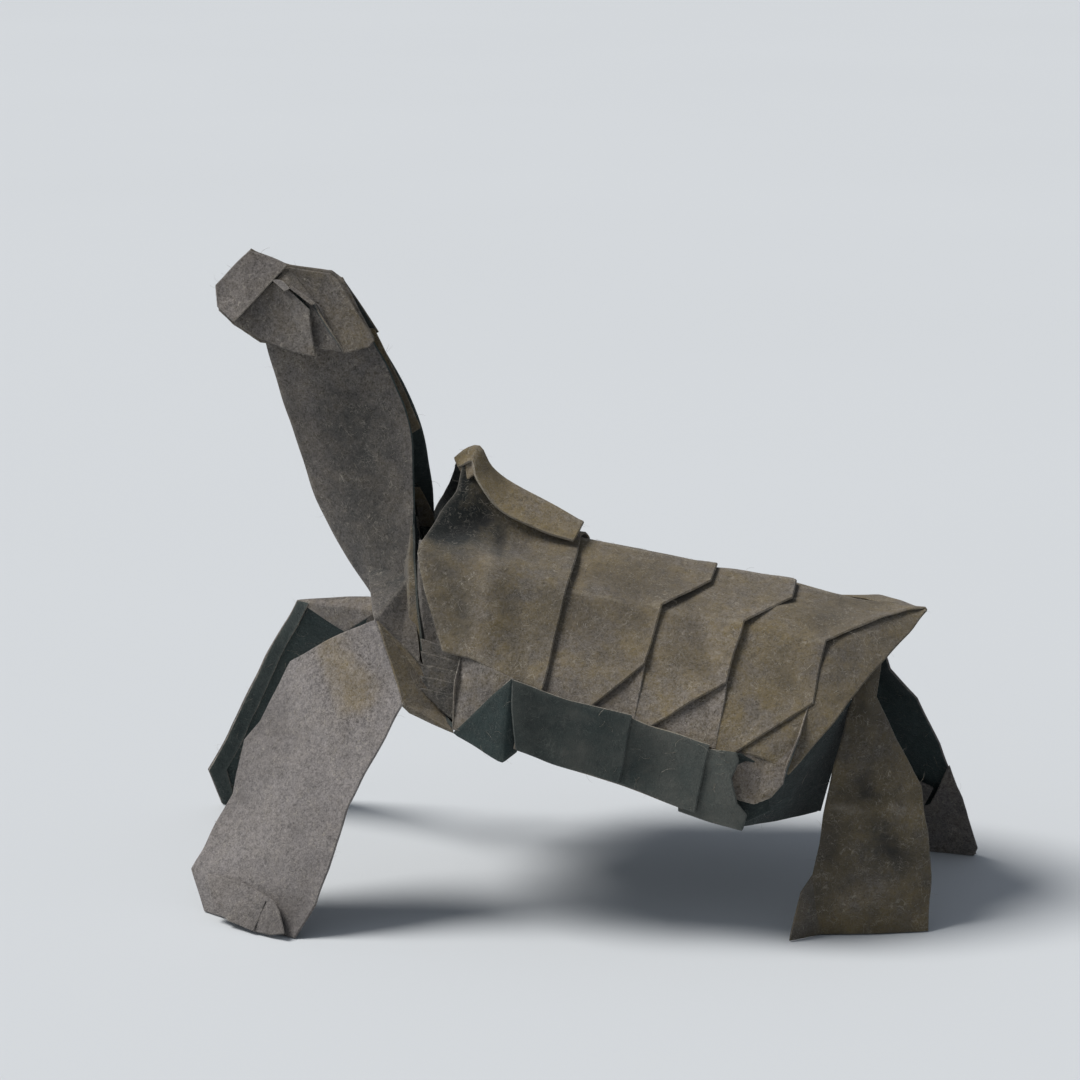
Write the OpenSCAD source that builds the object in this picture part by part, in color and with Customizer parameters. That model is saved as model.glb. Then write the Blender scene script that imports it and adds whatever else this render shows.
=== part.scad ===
// Folded paper tortoise with a saddle-backed shell: one sheet, folded and left standing.
// Millimetres, +Z up, the tail at +X, the ground at Z = 0.
// Near side is -Y. Sheets are given by the points of their creases and raw edges.

/* [Paper] */
// Thickness of the folded paper where one layer shows
paper_t = 0.5; // [0.4:0.05:0.7]
// Step from one layer to the next where pleats lie on each other
layer_step = 0.45; // [0.35:0.05:0.6]

/* [Shell] */
// Slope of the back down to the tail, degrees
back_slope = 11; // [8:1:14]
// Height of the line of the back above the ground, at the middle of the saddle
back_height = 60; // [58:1:64]
// Half width of the top, out to the upper crease
crown_half = 14; // [12:0.5:16]
// Fall from the back to the upper crease
crown_drop = 5.3; // [4:0.1:7]
// Half width at the corner where the pleats turn
corner_half = 21; // [19.5:0.5:23]
// Fall from the back to that corner
corner_drop = 13.4; // [12:0.1:15]
// Half width at the rim
rim_half = 27; // [25.5:0.5:30]
// Fall from the back to the top of the rim band, at the saddle
rim_drop = 18.3; // [17:0.1:20]
// How much lower the rim runs for each mm towards the tail
rim_fall = 0.11; // [0.08:0.01:0.14]
// Height of the turned-up band along the rim
band_h = 9.8; // [8:0.1:12]
// Length of the shell from the saddle to the tip of the tail
shell_len = 63.4; // [61:0.1:67]

/* [Pleats] */
// Place of the first pleat's edge behind the saddle
first_pleat = 22.3; // [21.5:0.1:23]
// Distance from one pleat's edge to the next
pleat_pitch = 13; // [12.6:0.1:13.2]
// Lead of each pleat's edge on the line of the back
pleat_lead = 7; // [5:0.5:8]
// Length of the slanted corner at the foot of each pleat
pleat_corner = 9; // [7:0.5:10]
// Place of the rear edge of the saddle
saddle_edge = 7.2; // [6.5:0.1:8]

/* [Saddle] */
// Height of the saddle's peak above the line of the back
peak_rise = 10; // [8:0.5:12]
// Depth of the folded cap along the saddle's ridge
cap_depth = 4; // [3:0.1:4.5]
// Half width of the collar where it flares
collar_half = 15; // [14:0.5:16.5]

/* [Neck and head] */
// Gap between the two sides of the neck at its rear edge
neck_gap = 9; // [7:0.5:11]
// Height of the throat above the ground
throat_h = 88.6; // [86:0.2:92]
// Length of the head from its back to the snout
head_len = 26; // [24:0.5:28]
// Height of the head from cheek to crown
head_h = 13.5; // [12:0.5:15]
// Half width of the head at the cheeks
cheek_half = 4.5; // [4:0.1:5.5]

/* [Legs] */
// Width of a front foot
front_foot_w = 19.4; // [18:0.2:21]
// Width of a rear foot
rear_foot_w = 22; // [20:0.5:24]
// Gap between the two layers of a leg at its open edge
leg_gap = 2; // [1.5:0.1:3]

/* [Hidden] */
brown = [0.36, 0.31, 0.28];
s = layer_step;
centre = [5.2, -0.3, 0];

// ---- vector helpers
function unit(a) = a / max(1e-9, norm(a));
function mir(p) = [p.x, -p.y, p.z];
function mix(a, b, k) = a + (b - a) * k;
function flip(faces) = [for (f = faces) [f[2], f[1], f[0]]];

// ---- the shell's own frame: u runs back along the spine, v out to the near side, w up
function S(u, v, w) = [
    u * cos(back_slope) + w * sin(back_slope),
    -v,
    back_height - u * sin(back_slope) + w * cos(back_slope)
];

// Rows down one side: the back, the upper crease, the corner, the rim's top, the rim's fold
row_v = [0, crown_half, corner_half, rim_half, rim_half + 1.5];
row_w = [-0.6, -crown_drop, -corner_drop, -rim_drop, -rim_drop - band_h];
row_fall = [0, 0, 0, rim_fall, rim_fall + 0.02];
out_v = [0, 0.45, 0.7, 0.85, 0.9];
out_w = [1, 0.9, 0.7, 0.5, 0.4];

// A point of the shell: row, place along the back, and layer, where 2 is the outermost
function P(row, u, k = 2) = S(
    u,
    row_v[row] + (k - 2) * s * out_v[row],
    row_w[row] - row_fall[row] * u + (k - 2) * s * out_w[row]
);

// The point of the crown beside the back, where each pleat's edge turns
function Q(u, k = 2) = S(u, crown_half * 0.4, -crown_drop * 0.4 + (k - 2) * s);

function pleat_u(n) = first_pleat + n * pleat_pitch;
function slant(n) = pleat_corner + (n == 0 ? -2 : 1.3);

// How far the front and the rear of the shell's side lie from where the legs are drawn for
front_move = S(-12, corner_half - 1, -22) - [-16, -20, 40.7];
rear_move = S(52, crown_half - 1.5, -7) - [49.7, -12.5, 43.2];
function at_front(p) = p + front_move;
function at_rear(p) = p + rear_move;
// A point of a leg, which follows its hip at the top and stays on the ground at the foot
function limb(p, move, hip_z) = [for (k = [0:2]) p[k] + move[k] * max(0, p.z) / hip_z];

// ---- sheets
function total(a, i = 0) = i < len(a) - 1 ? a[i] + total(a, i + 1) : a[i];
function fan(f) = [for (i = [1:len(f) - 2]) [f[0], f[i], f[i + 1]]];
function tris(faces) = [for (f = faces, t = fan(f)) t];
// The direction that a triangle faces, with less weight for a small one
function tri_n(p, t) = let (c = cross(p[t[1]] - p[t[0]], p[t[2]] - p[t[0]])) c / max(6, norm(c));
function around(p, ts, i) = [for (t = ts) if (t[0] == i || t[1] == i || t[2] == i) tri_n(p, t)];
function corner_n(ns) =
    let (m = total(ns)) unit(m) / max(0.6, norm(m) / total([for (n = ns) norm(n)]));
function is_open(e, edges) = len([for (g = edges) if (g[0] == e[1] && g[1] == e[0]) 1]) == 0;
function grid(rows, cols) = [
    for (r = [0:rows - 2], c = [0:cols - 2])
        [r * cols + c, (r + 1) * cols + c, (r + 1) * cols + c + 1, r * cols + c + 1]
];

// One thick sheet over flat faces, mitred at its creases and square at its raw edges
module sheet(p, faces, t = paper_t) {
    ts = tris(faces);
    n = len(p);
    half = [for (i = [0:n - 1]) corner_n(around(p, ts, i)) * t / 2];
    edges = [for (f = ts, k = [0:2]) [f[k], f[(k + 1) % 3]]];
    raw = [for (e = edges) if (is_open(e, edges)) e];
    polyhedron(
        points = concat([for (i = [0:n - 1]) p[i] + half[i]], [for (i = [0:n - 1]) p[i] - half[i]]),
        faces = concat(
            [for (f = ts) [f[2], f[1], f[0]]],
            [for (f = ts) [f[0] + n, f[1] + n, f[2] + n]],
            [for (e = raw) [e[0], e[1], e[1] + n, e[0] + n]]
        ),
        convexity = 6
    );
}

// A sheet and its mirror image, joined along its first nr points, which lie on the middle
module whole_sheet(p, faces, nr, t = paper_t) {
    n = len(p);
    function far(i) = i < nr ? i : i + n - nr;
    all = concat(p, [for (i = [nr:n - 1]) mir(p[i])]);
    sheet(all, concat(tris(faces), [for (f = tris(faces)) [far(f[2]), far(f[1]), far(f[0])]]), t);
}

module both_sides() {
    children();
    mirror([0, 1, 0]) children();
}

// A closed fold along a line of points, where two layers meet
module fold(p, d) {
    for (i = [0:len(p) - 2])
        hull() {
            translate(p[i]) sphere(d = d, $fn = 6);
            translate(p[i + 1]) sphere(d = d, $fn = 6);
        }
}

// A single flat or fanned face, its points anticlockwise as seen from outside
module leaf(p, t = paper_t) {
    sheet(p, [[for (i = [0:len(p) - 1]) i]], t);
}

// ---- the saddle: first strip of the shell, pinched up at the front into a peak
module saddle() {
    front = [
        S(-12, 0, peak_rise - 0.7),
        S(-13.7, 3.2, peak_rise * 0.45),
        S(-15, collar_half * 0.47, -0.6),
        S(-17, collar_half * 0.9, -3.9),
        S(-16.4, collar_half + 1.3, -6.6),
        S(-12.7, corner_half - 1, -12.4),
        S(-9.6, corner_half + 1, -18)
    ];
    middle = [
        S(-4.5, 0, peak_rise * 0.48 - 0.7),
        S(-5, 3.8, 0.2),
        S(-4.8, 8.6, -2.8),
        S(-4.8, crown_half, -3.9),
        S(-4.6, crown_half + 2.5, -6.4),
        S(-4.2, corner_half - 1, -11),
        S(-4, corner_half + 2.5, -18)
    ];
    rear = [
        S(saddle_edge + 1.5, 0, 0.2),
        S(saddle_edge, 3.8, -0.9),
        S(saddle_edge, 9, -3.1),
        P(1, saddle_edge, 2),
        P(1, saddle_edge, 2) + (P(2, 0) - P(1, 0)) * 0.35,
        P(2, saddle_edge, 2),
        P(3, saddle_edge, 2)
    ];
    p = [for (r = [0:6], c = [0:2]) [front, middle, rear][c][r]];
    whole_sheet(p, grid(7, 3), 3);
    ridge = [front[0], middle[0], rear[0]];
    fold(ridge, paper_t + s);
    // lower part of the side, set back behind the collar
    both_sides() leaf([
        S(-5.2, rim_half - 2, -29), P(4, 2.8, 0.7), P(3, 4.4, 0.7), middle[6] + [0.3, -0.1, -0.3],
        front[6] + [3.4, 0.2, 0], S(-6.4, corner_half + 3, -21.5)
    ]);
    // the cap: the ridge's edge folded over on both sides
    top = [
        S(-15, 0, peak_rise - 2.8), S(-12, 0, peak_rise - 0.2), S(-9.9, 0, peak_rise - 2.6),
        S(-4.4, 0, peak_rise * 0.5 - 0.2), S(2.6, 0, 2.8), S(saddle_edge - 0.3, 0, 1.3)
    ];
    low = [
        S(-13.7, 1.2, peak_rise - 3), S(-12.8, 2.4, peak_rise - 1.4),
        S(-9.6, 3.9, peak_rise - 1.6 - cap_depth), S(-5.4, 4.8, peak_rise * 0.5 + 0.2 - cap_depth),
        S(1.5, 5, 3.8 - cap_depth), S(saddle_edge - 1, 5, 3.5 - cap_depth)
    ];
    cap = concat(top, low);
    fold([for (q = top) q - [0, 0, 0.2]], paper_t + 0.4);
    whole_sheet(cap, grid(2, 6), 6);
}

// ---- pleated strips of the shell
module strip(n) {
    u = pleat_u(n);
    f = n == 0 ? saddle_edge - 3 : pleat_u(n - 1) - 3;
    lead = n == 0 ? -1 : pleat_lead;
    p = [
        P(0, f + lead, 0), P(0, u + pleat_lead, 2),
        Q(f + lead, 0), Q(u + pleat_lead - 0.3, 2),
        P(1, f, 0), P(1, u, 2),
        P(2, f, 0), P(2, u - 0.6, 2),
        P(3, f - (n == 0 ? 0 : slant(n - 1)), 0), P(3, u - slant(n), 2)
    ];
    whole_sheet(p, grid(5, 2), 2);
    both_sides() margin(n);
}

// The second layer, which shows below the slanted corner of a pleat
module margin(n) {
    u = pleat_u(n);
    leaf([P(2, u - 5, 0.9), P(3, u - slant(n) - 1.5, 0.9), P(3, u, 1), P(2, u - 0.5, 1)]);
}

// Last strip along the back, out to the tip of the tail
module tail_strip() {
    u = pleat_u(2);
    f = pleat_u(1) - 3;
    p = [
        P(0, f + pleat_lead, 0), S(shell_len, 0, -0.2),
        Q(f + pleat_lead, 0), S(shell_len - 3, 3, -0.2),
        S(f + pleat_lead - 3, crown_half * 0.6, -crown_drop * 0.6), S(shell_len - 6.8, 7, -1),
        P(1, f, 0), P(1, u, 2),
        P(2, f, 0), P(2, u, 2),
        P(3, f - slant(1), 0), P(3, u - slant(2), 2)
    ];
    whole_sheet(p, grid(6, 2), 2);
    both_sides() {
        // second layer under the last corner, rounded off at its foot
        leaf([
            P(2, u - 5, 0.9), P(3, u - slant(2) - 1.5, 0.9), S(u - 7.6, rim_half + 0.8, -28),
            S(u - 5.3, rim_half + 1, -28.2), S(u - 3.1, rim_half + 0.7, -27.2),
            S(u - 1.7, rim_half + 0.4, -25), S(u - 1.7, rim_half, -22.4),
            S(u - 0.9, corner_half + 3.4, -17.6), P(2, u - 0.4, 1)
        ]);
        // panel between the last pleat and the rear margin
        panel = [
            S(shell_len - 7, 0.4, -0.6), S(shell_len + 0.2, 0.4, -0.6),
            S(shell_len - 11, 7, -2.3), S(shell_len - 2.2, 6, -3.2),
            P(1, u - 3, 0), S(shell_len - 5.5, 13, -6.6),
            P(2, u - 3, 0), S(shell_len - 8, 17, -9.9),
            S(u - 6, corner_half + 2.6, -17), S(shell_len - 11.4, 22, -15.4),
            S(u - 9, rim_half - 0.8, -22), S(u - 1.2, rim_half - 0.4, -23.6)
        ];
        sheet(panel, grid(6, 2));
    }
}

// ---- the rim: the sheet's edge turned up outside, with its raw edge along the top
module rim() {
    ends = [2.4, pleat_u(0) - 0.4, pleat_u(1) - 1.2, pleat_u(2) - 8.6];
    both_sides() {
        // side wall behind the band
        wall = concat([for (u = [2, 15, 28, 40]) P(3, u, 0.2)], [for (u = [2, 15, 28, 40]) P(4, u, 1)]);
        sheet(wall, grid(2, 4));
        for (i = [0:2]) {
            a = ends[i] - (i == 0 ? 0 : 2);
            b = ends[i + 1];
            m = (a + b) / 2;
            foot = i == 0 ? 3 : 0;
            over = i == 2 ? -4.5 : 0;
            band = [
                P(3, a, 3.6), P(3, m, 3.8), P(3, b + over, 4.2),
                P(4, a + foot, 1.6), P(4, m, 1.8), P(4, b, 2.2)
            ];
            sheet(band, grid(2, 3));
            fold([P(4, a + foot, 1.2), P(4, b, 1.5)], paper_t + s);
        }
        // front flap, opened into a small cone
        tip = S(-5, rim_half - 2, -29.6);
        brow = P(3, 2.2, 3.6);
        heel = S(3.7, rim_half + 1.6, -31.4);
        flap = [tip, heel, brow, S(5.4, rim_half + 0.6, -29.6), P(3, 4, 1.5)];
        sheet(flap, [[0, 1, 2], [2, 1, 3, 4]]);
        fold([tip, heel], paper_t + 0.3);
    }
}

// ---- under the shell: chest, belly, rear webs and the layers behind the collar, in one sheet
module underside() {
    low = -rim_drop - band_h;
    mid = [
        at_front([-24, -front_move.y, 38.5]), S(-19, 0, low - 1),
        S(4, 0, low - 4), S(30, 0, low - 6), S(43, 0, low - 4.6)
    ];
    side = [
        neck_foot, hip[3], S(-5, rim_half - 2.4, -29), P(4, 14, 1), P(4, pleat_u(2) - 8, 0.6),
        S(48.3, crown_half + 3, -32.8), web_low, rear_hip, S(pleat_u(2) - 1, rim_half - 4.4, -18.5)
    ];
    collar = [
        hip[2], hip[1], S(-12, corner_half - 4, -11),
        S(-5.6, rim_half - 3, -27.6), S(-5, corner_half + 1.4, -17)
    ];
    whole_sheet(concat(mid, side, collar), [
        [0, 1, 6, 5], [1, 7, 6], [2, 8, 7, 1], [3, 9, 8, 2], [4, 11, 10, 9, 3],
        [9, 10, 11, 12, 13], [5, 6, 14, 15], [16, 15, 14, 6, 17, 18]
    ], 5);
    both_sides() fold([hip[1], hip[2], hip[3]], paper_t + s);
}

// ---- neck: two layers joined along the throat and open at the back
neck_foot = at_front([-17, -front_move.y, 39]) - [0, neck_gap * 1.2, 0];

module neck() {
    f = [1.04, 0.88, 0.74, 0.59, 0.46, 0.29, 0.16, 0.02];
    throat_x = [-44.6, -42.7, -40.7, -38.2, -35.8, -31.6, -27.2, -23.6];
    near_x = [-27.3, -22.8, -20.2, -19.7, -19.7, -19.7, -19.2, -16.8];
    far_x = [-27.8, -23.3, -20.3, -18.8, -18.5, -18.8, -18.6, -16.8];
    gap = [0.25, 0.36, 0.46, 0.55, 0.66, 0.83, 1, 1.15];
    base = neck_foot.z - 1;
    // the last row stays on the chest, however long the neck is
    function level(i) = i < 7 ? base + (throat_h - base) * f[i] : neck_foot.z + 0.012;
    function along(x, i) = x[i] + front_move.x * (1 - f[i]);
    throat = [for (i = [0:7]) [along(throat_x, i), 0, level(i)]];
    near = [for (i = [0:7]) [along(near_x, i), -neck_gap * gap[i], level(i)]];
    far = [for (i = [0:7]) [along(far_x, i), neck_gap * gap[i], level(i)]];
    p = [for (i = [0:7]) each [near[i], throat[i], far[i]]];
    faces = [for (i = [0:6], c = [0, 1]) [3 * i + c, 3 * i + c + 1, 3 * i + c + 4, 3 * i + c + 3]];
    sheet(p, faces);
}

// ---- head, in its own frame from the chin: a back, b out to the near side, c up
function H(a, b, c) = [-45 + a * head_len / 26, -b * cheek_half / 4.5, throat_h + c * head_h / 13.5];

module head() {
    top = [H(-1.3, 0, 14.7), H(4.3, 0, 12.4), H(11.8, 0, 11.5), H(13.4, 0, 10.3)];
    rim = [
        H(-6.9, 0.8, 8.9), H(-6.1, 1.8, 5.2), H(-3.8, 2.4, 2.9), H(0.6, 2.8, 0.4),
        H(9, 4, 0.2), H(14.4, 4, 0), H(18.4, 2.4, 1.6)
    ];
    mid = H(7, 3, 7);
    loop = [0, 4, 5, 6, 7, 8, 9, 10, 3, 2, 1];
    down = [for (i = [0:10]) [loop[i], loop[(i + 1) % 11], 11]];
    whole_sheet(concat(top, rim, [mid]), down, 4);
    both_sides() {
        // snout, folded back over the face
        leaf([H(-1.3, 0.5, 14.7), H(-7, 1.4, 8.9), H(-6.2, 2.5, 5.2), H(-3.6, 3.4, 3.2), H(4.5, 1.2, 12.3)]);
        // front cheek, with the eye's slot above it
        leaf([
            H(2, 2.6, 9.6), H(-3.6, 2.8, 3), H(0.6, 3.3, 0.4),
            H(9.5, 4.7, -1), H(9, 4.3, 6), H(5.3, 3.4, 8.8)
        ]);
        // rear cheek
        leaf([
            H(4.3, 0.8, 12.2), H(10.8, 4.2, 5.9), H(14.4, 4.7, -0.5),
            H(17.8, 4.2, 0.5), H(18.6, 2.8, 1.8), H(13.4, 0.8, 10.3), H(11.8, 0.8, 11.4)
        ]);
    }
}

// ---- legs: flattened channels, folded along the front edge and open at the rear
module leg(front, rear, inward) {
    n = len(front);
    p = concat([for (i = [0:n - 1]) each [front[i], rear[i]]]);
    faces = [for (i = [0:n - 2]) [2 * i, 2 * i + 2, 2 * i + 3, 2 * i + 1]];
    side = inward.y < 0 ? flip(tris(faces)) : faces;
    inner = [
        for (i = [0:n - 1])
            each [front[i] + inward * paper_t * 0.4, mix(front[i], rear[i], 0.86) + inward * leg_gap]
    ];
    sole = inner[2 * n - 1];
    sheet(p, side);
    sheet(inner, side);
    fold([for (q = front) q + inward * paper_t * 0.2], paper_t * 1.6);
    // the layers packed together at the foot
    hull()
        for (q = [front[n - 1], rear[n - 1], sole])
            translate([q.x, q.y, 0]) cylinder(d = paper_t, h = 2.4, center = true, $fn = 6);
}

// Points where a front leg's shoulder turns back to the collar, and the top of a rear leg
hip = [
    at_front([-24.1, -17, 47.5]), at_front([-20.2, -17.4, 43.8]),
    at_front([-13.8, -19.6, 37.2]), at_front([-12.5, -20.4, 33.5])
];
rear_hip = at_rear([51, -15, 36.6]);
web_low = S(53.8, crown_half - 2, -33.3);
front_w = front_foot_w / 19.4;
rear_w = rear_foot_w / 22;

// Edges of a leg: the given points moved with their hip and set to the width of the foot
function front_edge(a, move, hip_z) = [for (p = a) limb(p, move, hip_z)];
function rear_edge(a, b, wide, move, hip_z) = [
    for (i = [0:len(a) - 1]) limb(mix(a[i], b[i], 1 + (wide - 1) * (1 - max(0, b[i].z) / 50)), move, hip_z)
];

module near_front_leg() {
    a = [
        [-38.9, -13, 38.7], [-41.6, -14, 33.4], [-43.4, -15, 29.3], [-45.7, -16, 26.5],
        [-47.6, -18, 18.1], [-53.8, -21, 6.2], [-51.1, -24.2, -0.4]
    ];
    b = [
        [-24.1, -17, 47.5], [-18.5, -25, 36.1], [-23.3, -27, 27.2], [-26.4, -29, 20.7],
        [-28.5, -31, 13.7], [-31.3, -33, 5.4], [-34.5, -34.2, -0.4]
    ];
    front = front_edge(a, front_move, 47.5);
    rear = rear_edge(a, b, front_w, front_move, 47.5);
    leg(front, rear, unit([0.46, 0.77, -0.4]));
    // shoulder, turned back to the collar
    fold([rear[0], rear[1]], paper_t + 0.3);
    shoulder = [
        hip[0] + [0.3, 0, -0.1], rear[1] + [0.2, 0.2, 0], hip[3] + [0, -0.2, 0], hip[2] + [0, -0.2, 0],
        hip[1] + [0, -0.2, 0], rear[1] + [0.9, 2, -1.9], hip[3] + [1.7, -3.1, -1.9]
    ];
    sheet(shoulder, [[0, 1, 2, 3, 4], [1, 5, 6, 2]]);
    // toe, folded up over the foot
    leaf([
        [-50.6, -22.2, 5.8], [-48.2, -26.2, 0.4], [-35.5, -33.6, 0.6],
        [-37.9, -30.4, 4.5], [-38.6, -29.7, 5.2], [-48, -23.6, 6.1]
    ]);
}

module far_front_leg() {
    a = [[-43.8, 19, 40.5], [-50, 21.5, 29.5], [-56, 24, 18], [-61.5, 26, 7.6], [-60, 29, -0.4]];
    b = [[-30, 13, 42.8], [-33, 20, 33], [-37, 26, 21], [-41, 31, 9], [-44, 33.5, -0.4]];
    front = front_edge(a, mir(front_move), 47.5);
    rear = rear_edge(a, b, front_w, mir(front_move), 47.5);
    leg(front, rear, unit([0.46, -0.77, -0.4]));
    fold([front[0], rear[0], rear[1]], paper_t + 0.3);
    leaf([
        front[0] + [0.2, -0.2, 0], front[0] + [9, -5, -3.7],
        rear[0] + [1.1, -3, -1.5], rear[0] + [0, -0.2, -0.1]
    ]);
    leaf([
        rear[0] + [0.3, 0, 0.1], rear[1] + [0.2, -0.2, 0.1],
        mir(hip[3]) + [0, 0.2, 0], mir(hip[2]) + [0, 0.2, 0], mir(hip[1]) + [0, 0.2, 0]
    ]);
}

module near_rear_leg() {
    a = [
        [50, -12.5, 43.2], [51, -15, 36.6], [49.5, -17, 30.8],
        [47.9, -20, 23], [45.8, -24, 10.5], [46.6, -22.5, -0.4]
    ];
    b = [
        [55, -10, 41.5], [54.5, -13, 36.5], [57.7, -14, 30.5],
        [62, -15.6, 23], [63.6, -17, 11], [63.8, -19, -0.4]
    ];
    front = front_edge(a, rear_move, 43);
    rear = rear_edge(a, b, rear_w, rear_move, 43);
    leg(front, rear, unit([0.2, 0.96, -0.1]));
    leaf([[46, -23.8, 10.3], [43.9, -25, 7.8], [42.5, -26, -0.4], [46.8, -22.2, -0.4]]);
}

module far_rear_leg() {
    a = [
        [50, 11.5, 43.2], [51, 15, 36.6], [52.5, 15, 30],
        [54, 17.5, 22], [58, 20.5, 10], [62.5, 21.7, -0.4]
    ];
    b = [
        [54.5, 9, 40], [56.5, 11, 34], [61, 13.5, 28.5],
        [65.2, 15.6, 20], [69, 17, 10.5], [71.6, 18.2, -0.4]
    ];
    front = front_edge(a, mir(rear_move), 43);
    rear = rear_edge(a, b, rear_w, mir(rear_move), 43);
    leg(front, rear, unit([0.2, -0.96, -0.1]));
}

// The whole is set with the ground at Z = 0 and the middle of its length and width at the origin
module folded_tortoise() {
    color(brown) translate(-centre) difference() {
        union() {
            saddle();
            strip(0);
            strip(1);
            tail_strip();
            rim();
            underside();
            neck();
            head();
            near_front_leg();
            far_front_leg();
            near_rear_leg();
            far_rear_leg();
        }
        // the feet stand flat on the ground
        translate([0, 0, -20]) cube([300, 200, 40], center = true);
    }
}

folded_tortoise();
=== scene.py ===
"""Looks of the folded paper tortoise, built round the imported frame.

Sizes are in millimetres until a mesh is made."""
import math

import bpy
import numpy as np
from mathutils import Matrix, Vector, kdtree, noise


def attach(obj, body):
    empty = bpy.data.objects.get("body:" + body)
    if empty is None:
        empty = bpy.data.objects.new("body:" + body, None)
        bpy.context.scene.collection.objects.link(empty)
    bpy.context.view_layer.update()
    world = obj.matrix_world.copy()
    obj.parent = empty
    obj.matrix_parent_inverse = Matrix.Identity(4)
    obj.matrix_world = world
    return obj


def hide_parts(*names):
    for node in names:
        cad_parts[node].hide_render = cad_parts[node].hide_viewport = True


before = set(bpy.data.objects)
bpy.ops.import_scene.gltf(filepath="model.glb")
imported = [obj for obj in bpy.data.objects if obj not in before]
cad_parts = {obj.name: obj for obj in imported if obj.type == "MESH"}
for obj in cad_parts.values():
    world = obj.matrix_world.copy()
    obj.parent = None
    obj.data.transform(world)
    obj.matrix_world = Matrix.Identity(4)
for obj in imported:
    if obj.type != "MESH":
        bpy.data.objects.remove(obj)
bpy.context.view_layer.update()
noise.seed_set(4)      # without a seed, noise_vector changes from run to run

T = 0.32       # thickness of one layer of paper
LID = 0.25     # thickness of the smallest flaps
BODY = 0.42    # thickness of a main face, with what lies closed behind it
FINE = 1.24    # edge length of the fine mesh
COARSE = 1.5   # the same for the underside
K = 0.45       # step from one layer of a pleat to the next
CENTRE = np.array([5.2, -0.3, 0.0])      # the middle of the figure, which the frame puts at its origin
SLOPE = math.radians(11)     # fall of the back
RIDGE = 60                   # height of the back where u is 0

# ---- the shell's own frame: u back along the spine, v out to the near side, w up
def S(u, v, w):
    along, up = math.cos(SLOPE), math.sin(SLOPE)
    return np.array([u * along + w * up, -v, RIDGE - u * up + w * along])

# the shell's rows from the spine to the rim, and which way its layers are stacked on them
ROW_V = [0, 14, 21, 27, 28.5]
ROW_W = [-0.6, -5.3, -13.4, -18.3, -28.1]
ROW_FALL = [0, 0, 0, 0.11, 0.13]
OUT_V = [0, 0.45, 0.7, 0.85, 0.9]
OUT_W = [1, 0.9, 0.7, 0.5, 0.4]

def P(row, u, k=2):
    out_by = (k - 2) * K
    return S(u, ROW_V[row] + out_by * OUT_V[row], ROW_W[row] - ROW_FALL[row] * u + out_by * OUT_W[row])

def Q(u, k=2):
    return S(u, 5.6, -2.12 + (k - 2) * K)

def mir(p):
    return np.array(p, float) * [1, -1, 1]

def V(*p):
    return np.array(p, float)

# rear edge of each strip along the spine, and how much further forward it is at the rim
PLEAT = [22.3, 35.3, 48.3]
SLANT = [7.0, 10.3, 10.3]

# ---- the camera of the photograph, which also places the marks that only it shows
AZ, EL, DIST = math.radians(7), math.radians(14), 520.0
FOCAL, FRAME, SENSOR = 3224.0, 1080, 36      # the first two in pixels of the photograph
HALF = FRAME / 2
BACK = V(math.sin(AZ) * math.cos(EL), -math.cos(AZ) * math.cos(EL), math.sin(EL))
RIGHT = V(math.cos(AZ), math.sin(AZ), 0)
UP = np.cross(BACK, RIGHT)
TARGET = V(0, 0, 57)
EYE = TARGET + BACK * DIST

def on(x, y, a, b, c, lift=0.0):
    """The point of the plane through a, b and c that shows at pixel x, y, raised on the camera's side."""
    n = np.cross(b - a, c - a)
    n /= np.linalg.norm(n)
    if n @ (EYE - a) < 0:
        n = -n
    r = -BACK * FOCAL + RIGHT * (x - HALF) + UP * (HALF - y)
    return EYE + r * (((a - EYE) @ n) / (r @ n)) + n * lift

def on_y(x, y, yy):
    """The point at pixel x, y that lies in the upright plane at yy, along the animal."""
    r = -BACK * FOCAL + RIGHT * (x - HALF) + UP * (HALF - y)
    return EYE + r * ((yy - EYE[1]) / r[1])

# ---- the mesh that everything is added to
out = {"v": [], "f": [], "m": [], "tone": [], "wear_and_hollow_shade": [], "dim": []}
count = [0]

# waves in the paper: how fine, where from, how deep
WAVES = ((0.055, 3.1, 0.42), (0.19, 11.7, 0.19))
FADE = 9       # below this height it fades out, so that the feet stay on the floor

def warp(v, amount):
    """The slight unevenness of hand-folded paper: neighbouring layers move together."""
    moved = np.empty_like(v)
    for i, p in enumerate(v):
        a, b = (np.array(noise.noise_vector(Vector(p * fine + start))) * deep for fine, start, deep in WAVES)
        moved[i] = p + (a + b) * (amount * min(1.0, max(0.0, p[2] / FADE)))
    return moved

def unit_rows(a):
    return a / np.maximum(np.linalg.norm(a, axis=1, keepdims=True), 1e-9)

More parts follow.
